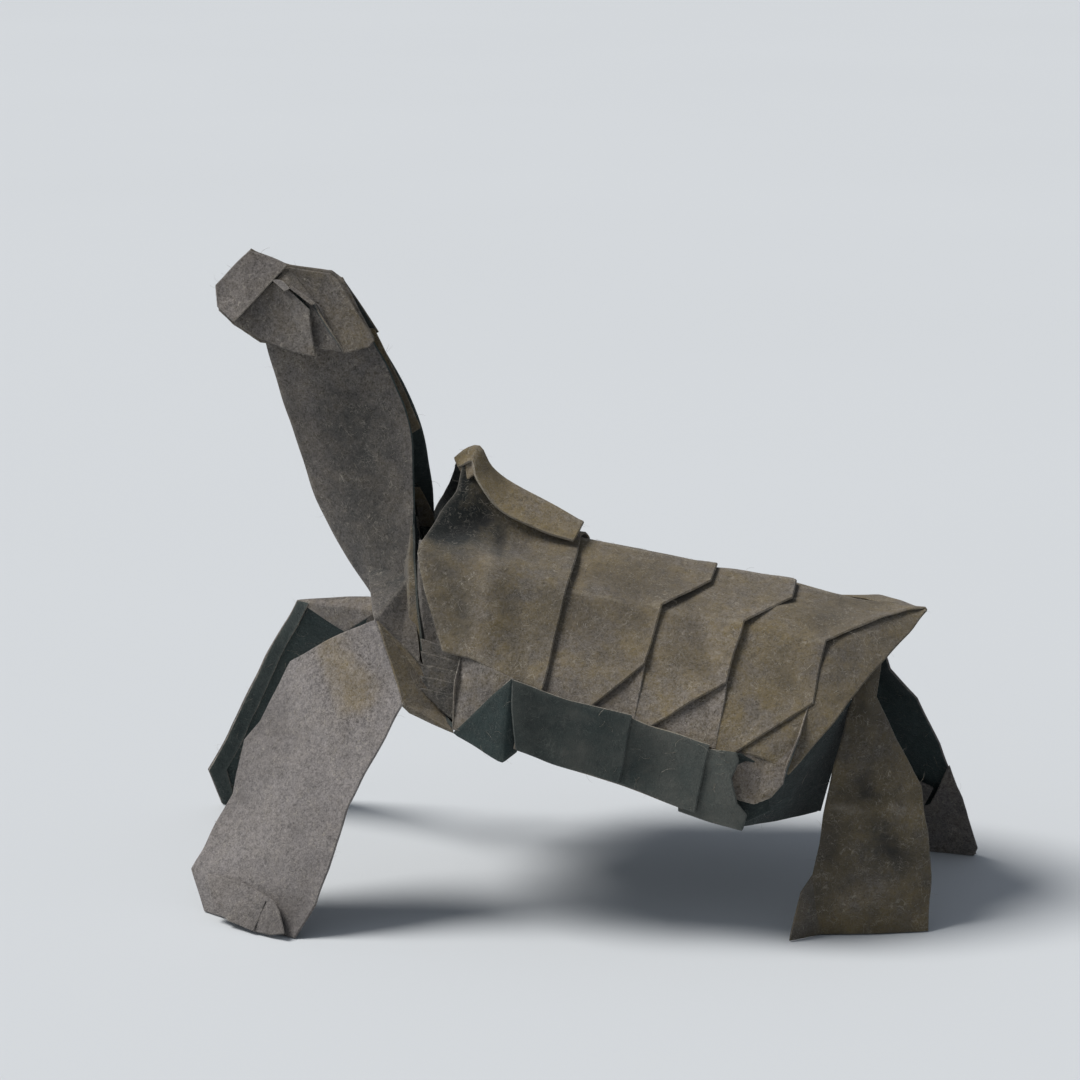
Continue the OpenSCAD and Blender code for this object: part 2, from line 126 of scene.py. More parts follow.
def emit(v, f, raw, t=T, tone=0.5, mats=(0, 1), cockle=1.0, press=(), dim=0.0, marks=()):
    """One layer of paper: a fine surface made t thick, with square raw edges and round folded ones."""
    v, f = np.array(v, float), np.array(f)
    k, n = f.shape[1], len(v)
    for a, b, wide, deep in press:      # creases and dents pressed into the layer
        ab = b - a
        s = np.clip(((v - a) @ ab) / (ab @ ab), 0, 1)
        d = np.linalg.norm(v - a - s[:, None] * ab, axis=1)
        v = v + np.exp(-(d / wide) ** 2)[:, None] * deep
    # two painted levels: tone, the paper's olive stain and other tint; and painted shade, which darkens
    # faces, folds and layers that lie in shadow
    paint = {"tone": np.full(n, float(tone)), "dim": np.full(n, float(dim))}
    for kind, a, b, wide, amount in marks:      # marks along a line: olive stains ("tone"), or painted shade
        ab = b - a
        s = np.clip(((v - a) @ ab) / (ab @ ab), 0, 1)
        d = np.linalg.norm(v - a - s[:, None] * ab, axis=1)
        paint[kind] += np.exp(-(d / wide) ** 2) * amount
    v = warp(v, cockle)
    e = np.vstack([f[:, [j, (j + 1) % k]] for j in range(k)])
    code, back = e[:, 0] * n + e[:, 1], e[:, 1] * n + e[:, 0]
    rim = e[~np.isin(code, back)]
    edge = np.zeros(n, bool)
    edge[rim] = True
    total, links = np.zeros((n, 3)), np.zeros(n)
    inner = e[~(edge[e[:, 0]] & edge[e[:, 1]])]
    for a, b in ((0, 1), (1, 0)):
        np.add.at(total, inner[:, a], v[inner[:, b]])
        np.add.at(links, inner[:, a], 1)
    mean = total / np.maximum(links, 1)[:, None]
    v = np.where((~edge & (links > 0))[:, None], v * 0.5 + mean * 0.5, v)
    if k == 4:
        face_n = np.cross(v[f[:, 2]] - v[f[:, 0]], v[f[:, 3]] - v[f[:, 1]])
    else:
        face_n = np.cross(v[f[:, 1]] - v[f[:, 0]], v[f[:, 2]] - v[f[:, 0]])
    size = np.linalg.norm(face_n, axis=1)
    normal, weight = np.zeros((n, 3)), np.zeros(n)
    for j in range(k):
        np.add.at(normal, f[:, j], face_n)
        np.add.at(weight, f[:, j], size)
    mitre = np.maximum(0.6, np.linalg.norm(normal, axis=1) / np.maximum(weight, 1e-9))
    normal = unit_rows(normal)
    total, links = np.zeros((n, 3)), np.zeros(n)
    np.add.at(total, e[:, 0], v[e[:, 1]])
    np.add.at(links, e[:, 0], 1)
    bend = np.where(edge, 0, ((v - total / np.maximum(links, 1)[:, None]) * normal).sum(1))
    outward = np.zeros((n, 3))
    tangent = v[rim[:, 1]] - v[rim[:, 0]]
    for j in range(2):
        np.add.at(outward, rim[:, j], np.cross(tangent, normal[rim[:, j]]))
    outward = unit_rows(outward)
    half = normal * (t / 2 / mitre)[:, None]
    ids = np.flatnonzero(edge)
    fray = np.array([noise.noise(Vector(v[i] * 2.7)) for i in ids]) * 0.09
    bulge = np.where(raw[ids], 0.05 + fray, t * 0.5 + fray * 0.3)
    mid = v[ids] + outward[ids] * bulge[:, None]
    where = np.full(n, -1)
    where[ids] = np.arange(len(ids)) + 2 * n
    a, b = rim[:, 0], rim[:, 1]
    outer, lower = [b, a, where[a], where[b]], [where[b], where[a], a + n, b + n]
    walls = np.vstack([np.stack(outer, 1), np.stack(lower, 1)])
    both_raw = raw[a] & raw[b]
    side = np.concatenate([np.where(both_raw, 2, mats[0])] * 2)
    tree = kdtree.KDTree(len(ids))
    for i, j in enumerate(ids):
        tree.insert(v[j], i)
    tree.balance()
    near = np.zeros(n)
    for i, p in enumerate(v):
        _, j, d = tree.find(p)
        near[i] = math.exp(-d / 0.7) * (0.5 if raw[ids[j]] else 0.28)
    # real wear: lighter near edges and on convex folds; below zero, in hollows, the same level paints shade
    wear_and_hollow_shade = near + np.clip(bend * 5, -0.5, 0.5)
    under = near + np.clip(-bend * 5, -0.5, 0.5)
    base = count[0]
    out["v"] += [v + half, v - half, mid]
    out["wear_and_hollow_shade"] += [wear_and_hollow_shade, under, np.where(raw[ids], 0.7, 0.3)]
    for kind, level in paint.items():
        out[kind] += [level, level, level[ids]]
    out["f"] += (f + base).tolist() + [q[::-1] for q in (f + n + base).tolist()] + (walls + base).tolist()
    out["m"] += [mats[0]] * len(f) + [mats[1]] * len(f) + side.tolist()
    count[0] += 2 * n + len(ids)

def resample(p, axis, soft):
    """More points along one side of a grid: straight between the given ones, or along a smooth curve."""
    p = np.moveaxis(np.array(p, float), axis, 0)
    n, rows = len(p), []
    for i in range(n - 1):
        a, b = p[i], p[i + 1]
        seg = np.linalg.norm(b - a, axis=-1, keepdims=True)
        steps = max(1, math.ceil(seg.max() / FINE))
        if soft:
            p0, p3 = p[max(i - 1, 0)], p[min(i + 2, n - 1)]
            m0 = (b - p0) / (seg + np.linalg.norm(a - p0, axis=-1, keepdims=True)) * seg
            m1 = (p3 - a) / (seg + np.linalg.norm(p3 - b, axis=-1, keepdims=True)) * seg
        for j in range(steps):
            s = j / steps
            if soft:
                rows.append((2 * s**3 - 3 * s**2 + 1) * a + (s**3 - 2 * s**2 + s) * m0
                            + (3 * s**2 - 2 * s**3) * b + (s**3 - s**2) * m1)
            else:
                rows.append(a + (b - a) * s)
    rows.append(p[-1])
    return np.moveaxis(np.array(rows), 0, axis)

def grid(p, soft=(False, False), whole=False, mirror=False, raw="", **kw):
    """A four-sided layer given by rows of points. raw names its raw sides: rows (r, R) or columns (c, C)."""
    g = resample(resample(p, 0, soft[0]), 1, soft[1])
    if whole:
        g = np.concatenate([(g[1:] * [1, -1, 1])[::-1], g])
    rows, cols = g.shape[:2]
    i = np.arange(rows * cols).reshape(rows, cols)
    f = np.stack([i[:-1, :-1], i[1:, :-1], i[1:, 1:], i[:-1, 1:]], -1).reshape(-1, 4)
    flag = np.zeros((rows, cols), bool)
    if "r" in raw or (whole and "R" in raw):
        flag[0] = True
    if "R" in raw:
        flag[-1] = True
    if "c" in raw:
        flag[:, 0] = True
    if "C" in raw:
        flag[:, -1] = True
    v = g.reshape(-1, 3)
    emit(v, f, flag.reshape(-1), **kw)
    if mirror:
        kw["press"] = [(mir(a), mir(b), w, d * [1, -1, 1]) for a, b, w, d in kw.get("press", ())]
        kw["marks"] = [(k, mir(a), mir(b), w, d) for k, a, b, w, d in kw.get("marks", ())]
        emit(v * [1, -1, 1], f[:, ::-1], flag.reshape(-1), **kw)

def plate(p, faces=None, raw=(), mirror=False, size=FINE, **kw):
    """A layer of flat faces, each anticlockwise from outside; raw lists its raw edges by their ends."""
    p = [np.array(q, float) for q in p]
    faces = faces or [list(range(len(p)))]
    tris = [(f[0], f[i], f[i + 1]) for f in faces for i in range(1, len(f) - 1)]
    longest = max(np.linalg.norm(p[t[i]] - p[t[(i + 1) % 3]]) for t in tris for i in range(3))
    k = min(26, max(1, math.ceil(longest / size)))
    index, v, f = {}, [], []
    def at(q):
        key = tuple(np.round(q, 4))
        if key not in index:
            index[key] = len(v)
            v.append(q)
        return index[key]
    for t in tris:
        a, b, c = (p[i] for i in t)
        ids = {
            (i, j): at(a + (b - a) * (i / k) + (c - a) * (j / k))
            for i in range(k + 1) for j in range(k + 1 - i)
        }
        for i in range(k):
            for j in range(k - i):
                f.append((ids[i, j], ids[i + 1, j], ids[i, j + 1]))
                if j < k - i - 1:
                    f.append((ids[i + 1, j], ids[i + 1, j + 1], ids[i, j + 1]))
    v, f = np.array(v), np.array(f)
    flag = np.zeros(len(v), bool)
    for i, j in raw:
        ab = p[j] - p[i]
        s = np.clip(((v - p[i]) @ ab) / (ab @ ab), 0, 1)
        flag |= np.linalg.norm(v - p[i] - s[:, None] * ab, axis=1) < 1e-3
    emit(v, f, flag, **kw)
    if mirror:
        emit(v * [1, -1, 1], f[:, ::-1], flag, **kw)

# ---- saddle: first strip of the shell, pinched up at the front into a peak
front = [
    on_y(466, 455, 0), on_y(463.5, 464, -1), on_y(460.5, 475, -2.2), on_y(455.5, 491.5, -4.4),
    on_y(441, 511, -7.5), on_y(423, 540, -13), on_y(418.5, 553, -15.4), on_y(426, 597, -18.9),
    on_y(441, 651, -22)
]
far_front = [
    on_y(457, 462, 1.2), on_y(454.5, 473, 3), on_y(445, 492, 6), on_y(434, 513, 10.5), on_y(431, 527, 13.5),
    mir(front[6]) - [1, 0, 0], mir(front[7]), mir(front[8])
]
middle = [
    S(-5, 0, 4.4), S(-5, 1.2, 3), S(-5, 2.4, 1.3), S(-5, 4.4, -1.6), S(-5, 7, -3.4), S(-4.9, 11.4, -3.9),
    S(-4.7, 15.2, -5.4), S(-4.2, 20, -11), S(-4, 23.5, -18)
]
edge = P(1, 7.2, 2.5)
rear = [
    S(6.8, 0, -1), S(6.9, 1.2, -1.1), S(7, 2.6, -1.3), S(7.2, 5.6, -1.9), S(7.2, 9, -2.9), edge,
    edge + (P(2, 0) - P(1, 0)) * 0.35, P(2, 7.2, 2.6), P(3, 7.2, 2.5)
]
inner = [m + (r - m) * 0.62 - V(0, -0.2, 0.3) for m, r in zip(middle, rear)]
near_rows = [list(r) for r in zip(front, middle, inner, rear)]
far_rows = [[f, mir(m), mir(i), mir(r)] for f, m, i, r in zip(far_front, middle[1:], inner[1:], rear[1:])]
side_up = V(0.05, -0.75, 0.65)
ridge = [on(x, y, middle[6], middle[8], rear[8]) for x, y in ((492, 546), (484, 590), (474, 650))]
dent = [on(x, y, middle[4], middle[6], rear[6]) for x, y in ((503, 525), (496, 556))]
hollow = [on(x, y, middle[3], middle[5], front[4]) for x, y in ((445, 532), (484, 520))]
at = ((448, 575), (470, 630), (515, 575), (512, 640))
wrinkle = [on(x, y, middle[6], middle[8], rear[8]) for x, y in at]
# painted shade on the saddle: dark under the overhanging cap, along the steep front, in the hollow and the
# wrinkles, less along the raised ridge
grid(far_rows[::-1] + near_rows, soft=(True, True), raw="c", t=BODY, tone=0.75, press=[
    (ridge[0], ridge[1], 1.7, side_up * 0.55), (ridge[1], ridge[2], 2.2, side_up * 0.5),
    (dent[0], dent[1], 0.9, side_up * -0.7), (hollow[0], hollow[1], 2.6, side_up * -0.9),
    (wrinkle[0], wrinkle[1], 1.6, side_up * -0.4), (wrinkle[2], wrinkle[3], 1.8, side_up * -0.35)
], dim=0.26, marks=[
    ("dim", hollow[0], hollow[1], 3.4, 0.75), ("dim", front[1], front[4], 4.2, 0.95),
    ("dim", wrinkle[0], wrinkle[1], 2.4, 0.25), ("dim", ridge[0], ridge[2], 1.7, -0.42),
    ("dim", dent[0], dent[1], 1.5, 0.35), ("dim", far_front[2], far_front[5], 5, 0.7)
])
# lower part of the side, set back behind the collar
plate([
    S(-5.2, 25, -29), P(4, 2.8, 0.7), P(3, 4.4, 0.7), middle[8] + [0.3, -0.1, -0.3],
    front[8] + [3, 0.2, 0], S(-6.4, 24, -21.5)
], mirror=True, tone=0.3, dim=0.2)
# layers of the corner that show under the saddle's front edge
# each deeper layer carries more painted shade
for i in range(5):
    step, deep = 9.5 * i, -0.32 * i
    plate([
        on_y(420, 640 + step * 1.3, -19.6 + deep), on_y(430 + 3 * i, 706, -20 + deep),
        on_y(457, 722, -21.2 + deep), on_y(466, 655 + step * 1.15, -20.8 + deep)
    ], tone=0.2, dim=0.45 + 0.05 * i)
# the cap: the ridge's edge folded over on both sides
cap_top = [
    on_y(455.5, 459, 0), on_y(465, 450.5, 0), on_y(480.5, 446.5, 0), S(-9.2, 0, 7), S(-4.4, 0, 4.8),
    S(2.6, 0, 2.8), S(6.9, 0, 1.3)
]
cap_low = [
    on_y(459, 468, -1.2), on_y(466, 464, -1.9), on_y(472.5, 462, -2.4), on_y(476, 479, -3.4),
    S(-6.6, 4.5, 1.9), S(0.6, 5, 0), S(6.2, 5, -0.5)
]
grid([cap_top, cap_low], soft=(False, True), whole=True, raw="R", t=0.45, tone=1.2, dim=-0.1)
plate([on_y(465, 450.5, 0.2), on_y(459, 468, -0.9), on_y(466, 480, -2.2), on_y(475, 474, -2.8),
    on_y(474, 458, -2)], tone=0.6)

# ---- pleated strips, each lifted a little along its rear edge
for n in range(2):
    u = PLEAT[n]
    f = 4.2 if n == 0 else PLEAT[n - 1] - 3
    lead = -1 if n == 0 else 7
    foot = f - (0 if n == 0 else SLANT[n - 1])
    end = u - SLANT[n]
    at = (((628, 562), (652, 640)), ((692, 590), (700, 668)))[n]
    bend_at = [on(x, y, P(1, u), P(2, u), P(2, f)) for x, y in at]
    grid([
        [P(0, f + lead, 0), P(0, u + 2, 1.5), P(0, u + 7, 2.1)],
        [Q(f + lead, 0), Q(u + 2, 1.5), Q(u + 6.7, 2.3)],
        [P(1, f, 0), P(1, u - 4.5, 1.3), P(1, u, 2.7)],
        [
            (P(1, f, 0) + P(2, f, 0)) / 2, P(1, u - 4.5, 1.2) / 2 + P(2, u - 4.5, 1.2) / 2,
            P(1, u, 2.9) / 2 + P(2, u - 0.6, 2.9) / 2
        ],
        [P(2, f, 0), P(2, u - 5, 1.3), P(2, u - 0.6, 2.8)],
        [P(3, foot, 0), P(3, end - 3, 1.2), P(3, end, 2.3)]
    ], soft=(False, True), whole=True, t=BODY, tone=0.75 - 0.1 * n, dim=0.1, press=[
        (bend_at[0], bend_at[1], 2.4, side_up * -0.5)
    ], marks=[("tone", P(2, foot + 2), P(3, foot + 4), 5, -0.3), ("tone", Q(f), Q(u), 5, 0.3)])
    plate([P(2, u - 5, 0.8), P(3, end - 1.5, 0.8), P(3, u, 1.5), P(2, u - 0.5, 1.9)], mirror=True, tone=0.3)

# ---- last strip, out to the tip of the tail
u, f = PLEAT[2], PLEAT[1] - 3
tail_rows = [
    [P(0, f + 7, 0), S(55, 0, -0.95), S(63.4, 0, -0.3)], [Q(f + 7, 0), S(54, 4, -1.9), S(60.4, 3, -0.4)],
    [S(f + 4, 8.4, -3.18), S(50, 8.6, -3), S(56.6, 7, -1.1)], [P(1, f, 0), P(1, u - 4.5, 1.3), P(1, u, 2.6)],
    [P(2, f, 0), P(2, u - 5, 1.3), P(2, u, 2.8)],
    [P(3, f - SLANT[1], 0), P(3, u - SLANT[2] - 3, 1.2), P(3, u - SLANT[2], 2.3)]
]
drops = [(0, 0.5, 1.1)] * 2 + [(0, 0.2, 0.4)] * 3
far_tail = [[mir(q) - [0, 0, d] for q, d in zip(r, drop)] for r, drop in zip(tail_rows[1:], drops)]
grid(far_tail[::-1] + tail_rows, soft=(False, True), t=BODY, tone=1, dim=0.16)
tail_end = P(2, u - 0.4, 1.9)
plate([
    P(2, u - 5, 0.8), P(3, u - SLANT[2] - 1.5, 0.8), S(u - 9.6, 28.3, -28.2), S(u - 7.6, 28.4, -28.9),
    S(u - 5.3, 28.5, -28.9), S(u - 3.1, 28.3, -27.6), S(u - 1.7, 27.9, -25), S(u - 1.7, 27.4, -22.4),
    S(u - 0.9, 24.8, -17.6), tail_end, S(u - 5, 25.6, -21)
], [[0, 1, 10], [1, 2, 3, 4, 10], [4, 5, 6, 10], [6, 7, 8, 9, 10], [9, 0, 10]], mirror=True, tone=0.3,
raw=[(2, 3), (3, 4), (4, 5)])
grid([
    [S(56.4, 0.4, -0.8), S(62, 0.4, -0.7), S(63.6, 0.4, -0.6)],
    [S(54, 3.4, -1.6), S(59.6, 3, -0.75), S(62.5, 3, -1.8)],
    [S(51, 7, -2.9), S(56, 7.2, -1.7), S(61.2, 6, -3.2)],
    [P(1, u - 4, 0), S(50.4, 12.6, -4.9), S(57.9, 13, -6.6)],
    [(P(1, u - 4, 0) + P(2, u - 4, 0)) / 2, S(49.7, 17, -8.6), S(55.4, 17, -9.9)],
    [P(2, u - 4, 0), S(48.6, 21, -13.4), S(52, 22, -15.4)],
    [S(u - 9, 26.2, -22), S(u - 5, 26.4, -22), S(u - 1.2, 26.6, -23.6)]
], mirror=True, t=BODY, tone=1, dim=0.2)

# ---- rim: the sheet's edge turned up outside, reverse side out, with its raw edge along the top
stops = (5, 15, 28, 40)
grid([[P(3, q, 0.2) for q in stops], [P(4, q, 1) for q in stops]], mirror=True, mats=(0, 1))
ends = [2.4, 21.9, 34.1]      # of the two lengths of the band, along the spine
top_sag = [(0.1, -0.3, 0.3), (0.2, -0.4, 0.1)]
for i in range(2):
    a, b = ends[i] - (0 if i == 0 else 2), ends[i + 1]
    m, foot = (a + b) / 2, 3 if i == 0 else 0
    lift = [V(0, 0, z) for z in top_sag[i]]
    half = [P(3, q, 2.6) * 0.45 + P(4, q, 2.4) * 0.55 for q in (a + foot / 2, m, b)]
    half[1] = half[1] - [0, -0.35, 0]
    half[2] = half[2] + [0, -0.5, 0]
    # the first length carries painted shade, darkest at its front end under the overlap
    grid([
        [P(3, a, 3.6) + lift[0], P(3, m, 3.8) + lift[1], P(3, b, 4.6) + lift[2]], half,
        [P(4, a + foot, 1.6), P(4, m, 1.8), P(4, b, 2.9)]
    ], soft=(True, True), mirror=True, raw="r", mats=(1, 0), tone=0.45 + 0.4 * i, dim=0.3 - 0.35 * i,
    t=BODY, marks=[
        ("dim", P(3, a + 3), P(4, a + 6), 2.5, 0.3), ("tone", P(3, m), P(4, m + 3), 2, 0.5)
    ], cockle=1.4)
# the rim's end, with its corner turned in
def on_rim(*p):
    return [on(x, y, P(4, 32, 2), P(4, 40, 2.2), P(3, 34, 3.8), lift) for x, y, lift in p]

plate(on_rim(
    (684, 746, -0.7), (677, 812, -0.7), (741, 828.5, 0.7), (745, 813, 0.9), (736, 801, 1),
    (731.5, 776, 1.1), (738, 760, 0.6), (735, 752, 0.2), (718, 749.5, 0.5)
), [[0, 1, 4, 5], [1, 2, 3, 4], [0, 5, 8], [8, 5, 6, 7]], mirror=True, mats=(1, 0), tone=1.1, dim=-0.2,
t=0.4, raw=[(7, 8), (8, 0)])
# the inside of the curl, with painted shade
plate(on_rim((722, 753, -0.6), (724, 812, -0.8), (744, 822, -0.6), (770, 812, -1.6), (764, 770, -1.8),
    (740, 755, -0.6)), mirror=True, mats=(1, 1), tone=0, dim=0.6)

# the flap turned under at the rim's front, reverse side out, in painted teal shade
tip, brow, heel = S(-5, 25, -29.6), P(3, 2.2, 3.6), S(3.7, 28.6, -31.4)
plate([tip, heel, brow, S(5.4, 27.6, -29.6), P(3, 4, 1.5)], [[0, 1, 2], [2, 1, 3, 4]], raw=[(0, 2), (1, 3)],
    mirror=True, mats=(1, 1), tone=-0.6, dim=0.5, t=BODY)

# ---- hips
front_move = S(-12, 20, -22) - V(-16, -20, 40.7)
rear_move = S(52, 12.5, -7) - V(49.7, -12.5, 43.2)
hip = [V(-24.1, -17, 47.5), V(-20.2, -17.4, 43.8), V(-13.8, -19.6, 37.2), V(-12.5, -20.4, 33.5)]
hip = [h + front_move for h in hip]
rear_hip = V(51, -15, 36.6) + rear_move
web_low = S(53.8, 12, -33.3)
neck_foot = V(-17, 0, 39) + front_move - [0, 10.8, 0]

def limb(p, move, hip_z):
    """A point of a leg, moved with its hip and less and less towards the foot, which stays."""
    p = np.array(p, float)
    return p + move * max(0, p[2]) / hip_z

# ---- underside: chest, belly, rear webs and the layers behind the collar
low = -28.1
mid = [V(-24, 0, 38.5) + front_move, S(-19, 0, low - 1), S(4, 0, low - 4), S(30, 0, low - 6),
    S(43, 0, low - 4.6)]
side = [
    neck_foot, hip[3], S(-5, 24.6, -29), P(4, 14, 1), P(4, 40.3, 0.6), S(48.3, 17, -32.8), web_low, rear_hip,
    S(47.3, 22.6, -18.5)
]
collar = [hip[2], hip[1], S(-12, 17, -11), S(-5.6, 24, -27.6), S(-5, 22.4, -17)]
near_faces = [
    [0, 1, 6, 5], [1, 7, 6], [2, 8, 7, 1], [3, 9, 8, 2], [4, 11, 10, 9, 3],
    [9, 10, 11, 12, 13], [5, 6, 14, 15], [16, 15, 14, 6, 17, 18]
]
pts = mid + side + collar
both = pts + [mir(q) for q in pts[5:]]
far_faces = [[i if i < 5 else i + 14 for i in q][::-1] for q in near_faces]
# painted shade: the underside lies in shadow, the downward faces darkest
plate(both, near_faces[:6] + far_faces[:6], size=COARSE, mats=(1, 0), tone=-0.3, dim=0.7)
plate(both, far_faces[6:], size=COARSE, tone=0.35, dim=0.3)

# ---- neck: two layers joined along the throat and open at the back
share = [1.04, 0.88, 0.74, 0.59, 0.46, 0.29, 0.16, 0.02]
throat_x = [-44.6, -42.7, -40.7, -38.2, -35.8, -31.6, -27.2, -23.6]
near_x = [-27.3, -22.8, -20.2, -19.7, -19.7, -19.7, -19.2, -16.8]
far_x = [-27.8, -23.3, -20.3, -18.8, -18.5, -18.8, -18.6, -16.8]
gap = [0.25, 0.36, 0.46, 0.55, 0.66, 0.83, 1, 1.15]
base_z = neck_foot[2] - 1
neck_rows = []
for i in range(8):
    z, dx = base_z + (88.6 - base_z) * share[i], front_move[0] * (1 - share[i])
    out_by = 9 * gap[i]
    neck_rows.append([V(near_x[i] + dx, -out_by, z), V(throat_x[i] + dx, 0, z), V(far_x[i] + dx, out_by, z)])
at = ((2, ((298, 406), (352, 402))), (4, ((330, 558), (372, 546))), (3, ((330, 440), (395, 500))))
creases = [[on(x, y, neck_rows[i][0], neck_rows[i][1], neck_rows[i + 1][0]) for x, y in q] for i, q in at]
# the neck faces away from the light: painted shade over it, darker at mid-height, with a lighter line
grid(neck_rows, soft=(True, False), t=BODY, tone=0.12, mats=(1, 0), dim=0.32, marks=[
    ("dim", on_y(348, 430, -4), on_y(366, 545, -7), 6, 0.4),
    ("dim", on_y(300, 370, -1), on_y(322, 480, -1), 1.2, -0.25)
], press=[
    (creases[0][0], creases[0][1], 0.6, V(-0.1, -0.3, 0)),
    (creases[1][0], creases[1][1], 0.7, V(-0.1, -0.35, 0)),
    (creases[2][0], creases[2][1], 4, V(0.1, 0.7, 0))
])
# inner layers that show between the neck's two sides
plate([on_y(363, 328, 1.6), on_y(412, 434, 3.9), on_y(421, 429, 4), on_y(409, 402, 3.5),
    on_y(373, 328, 1.8)], tone=1, dim=0.2, raw=[(1, 2)])
plate([on_y(414, 488, 3.6), on_y(419, 526, 5), on_y(431, 527, 5.4), on_y(433, 518, 5.2),
    on_y(420, 488, 3.8)], tone=1, raw=[(2, 3)])
# the neck's near side, spreading down to the shoulder, and the layers between it and the collar
foot = neck_rows[5]
plate([
    foot[0] + [0, 0.5, 0], foot[0] * 0.3 + foot[1] * 0.7 + [0, 0.5, 0], hip[0] + [0, 0.4, 0],
    hip[1] + [0, 0.5, 0], hip[3] + [0, 0.5, 0], on_y(418.5, 660, -18.2), on_y(415, 622, -13.5)
], [[0, 1, 2, 3, 6], [3, 4, 5, 6]], tone=0.12, dim=0.32, raw=[(0, 6), (6, 5)],
marks=[("dim", foot[0], foot[1], 6, 0.3)])
# the layers between neck and collar, with painted shade
for shift, deep, tone in ((3.2, 0.5, 0.7), (6.5, 1.2, 0.1), (10.5, 2, 0.4)):
    plate([
        on_y(410 + shift * 0.6, 485 + shift * 3, -4 + deep), on_y(402 + shift, 560, -6 + deep),
        on_y(406 + shift, 668, -17.6 + deep), on_y(424 + shift, 694, -20 + deep),
        on_y(417.5 + shift, 655, -17.6 + deep), on_y(413.5 + shift, 585, -8.5 + deep)
    ], tone=tone, dim=0.4)
plate([
    on_y(420, 540, -9), on_y(418, 640, -14), on_y(426, 690, -18.4), on_y(448, 716, -19.9),
    on_y(460, 690, -19.6), on_y(446, 600, -17), on_y(430, 545, -12)
], tone=0.1, dim=0.5)

# ---- head, given from its throat: a back, b out to the near side, c up
def H(a, b, c):
    return V(-45 + a, -b, 88.6 + c)

head_top = [H(-1.3, 0, 14.7), H(4.3, 0, 12.4), H(11.8, 0, 11.5), H(13.4, 0, 10.3)]
head_rim = [H(-6.9, 0.8, 8.9), H(-6.1, 1.8, 5.2), H(-3.8, 2.4, 2.9), H(0.6, 2.8, 0.4), H(9, 4, 0.2),
    H(14.4, 4, 0), H(18.4, 2.4, 1.6)]
pts = head_top + head_rim + [H(7, 3, 7)]
loop = [0, 4, 5, 6, 7, 8, 9, 10, 3, 2, 1]
near_faces = [[loop[i], loop[(i + 1) % 11], 11] for i in range(11)]
both = pts + [mir(q) for q in pts[4:]]
far_faces = [[i if i < 4 else i + 8 for i in q][::-1] for q in near_faces]
# the head and its flaps carry painted shade
plate(both, near_faces + far_faces, tone=0.4, dim=0.3)

def flap(*p, raw=(), **kw):
    """A flap on both cheeks, given by pixels and distances out from the head's middle."""
    plate([on_y(x, y, -b) for x, y, b in p], raw=raw, **kw)
    plate([on_y(x, y, b - 0.3) for x, y, b in p][::-1], mats=(0, 0),
        raw=[(len(p) - 1 - i, len(p) - 1 - j) for i, j in raw], **kw)

# rear cheek, middle fold, front cheek, the lid above the eye, and the snout folded back over the face
flap((289, 268, 1.3), (279, 279.5, 2.2), (291, 285.8, 3.2), (315.5, 302, 4.3), (320, 310, 4.6),
    (328.6, 323.6, 5), (344.7, 351, 5.6), (368.5, 345, 5), (373, 339, 4), (338.5, 281, 1.5),
    (331, 274.5, 1.2), tone=0.45, dim=0.26)
flap((289, 284, 2.4), (312, 306, 3.6), (314, 345, 4), (342, 349.5, 4.9), (328.6, 323, 4.5), (321, 306, 4.2),
    tone=0.1, dim=0.35)
flap((276, 282, 2.2), (234, 318, 2.6), (238, 325, 2.9), (261, 338, 3.4), (292.5, 349.5, 4.3),
    (315, 354.5, 5.2), (310.5, 309, 4.9), (290, 291, 3.5), tone=0.15, dim=0.24)
flap((273, 280.5, 2.6), (286, 291.5, 3.8), (291, 288.5, 3.9), (284, 281.5, 3.1), tone=-0.6,
    raw=[(0, 1), (1, 2), (2, 3)])
flap((290.5, 287, 3.7), (313, 304, 4.8), (316.5, 303, 4.7), (292, 285.5, 3.6), tone=0.4, t=LID)
flap((250.6, 251.4, 0.4), (217.4, 285.6, 1.3), (219.5, 306.5, 2.3), (236, 322.5, 4.3), (262, 293.5, 3.3),
    (287.5, 266, 1.9), tone=0.05, t=0.4, raw=[(3, 4), (4, 5)])
flap((218.5, 291, 0.7), (221, 311, 1.6), (237, 326, 2.5), (236, 319, 2.2), tone=0.3)

# ---- legs: flattened channels, folded along the front edge and open at the rear
def leg(a, b, inward, move, hip_z, tone, inner=0.86, inner_mats=(0, 1), **kw):
    """A leg between its front edge a and its rear edge b, with the layer turned in behind its face."""
    fr, re = [limb(q, move, hip_z) for q in a], [limb(q, move, hip_z) for q in b]
    inward = V(*inward) / np.linalg.norm(inward)
    rows = [[p, p + (q - p) * 0.5 - inward * 0.5, q] for p, q in zip(fr, re)]
    set_in = 2 if inner > 0.5 else 0.8
    lining = [[p + inward * 0.25, p + (q - p) * inner + inward * set_in] for p, q in zip(fr, re)]
    if inward[1] < 0:
        rows, lining = [r[::-1] for r in rows], [r[::-1] for r in lining]
    grid(rows, soft=(False, True), t=BODY, tone=tone, cockle=1.3, **kw)
    # the lining behind the face, with painted shade
    grid(lining, tone=tone, mats=inner_mats, raw="cC", dim=0.4)
    return fr, re

near_front = (
    [[-38.9, -13, 38.7], [-41.6, -14, 33.4], [-43.4, -15, 29.3], [-45.7, -16, 26.5], [-47.6, -18, 18.1],
        [-53.8, -21, 6.2], [-51.1, -24.2, 0.3]],
    [[-24.1, -17, 47.5], [-18.5, -25, 36.1], [-23.3, -27, 27.2], [-26.4, -29, 20.7], [-28.5, -31, 13.7],
        [-31.3, -33, 5.4], [-34.5, -34.2, 0.3]]
)
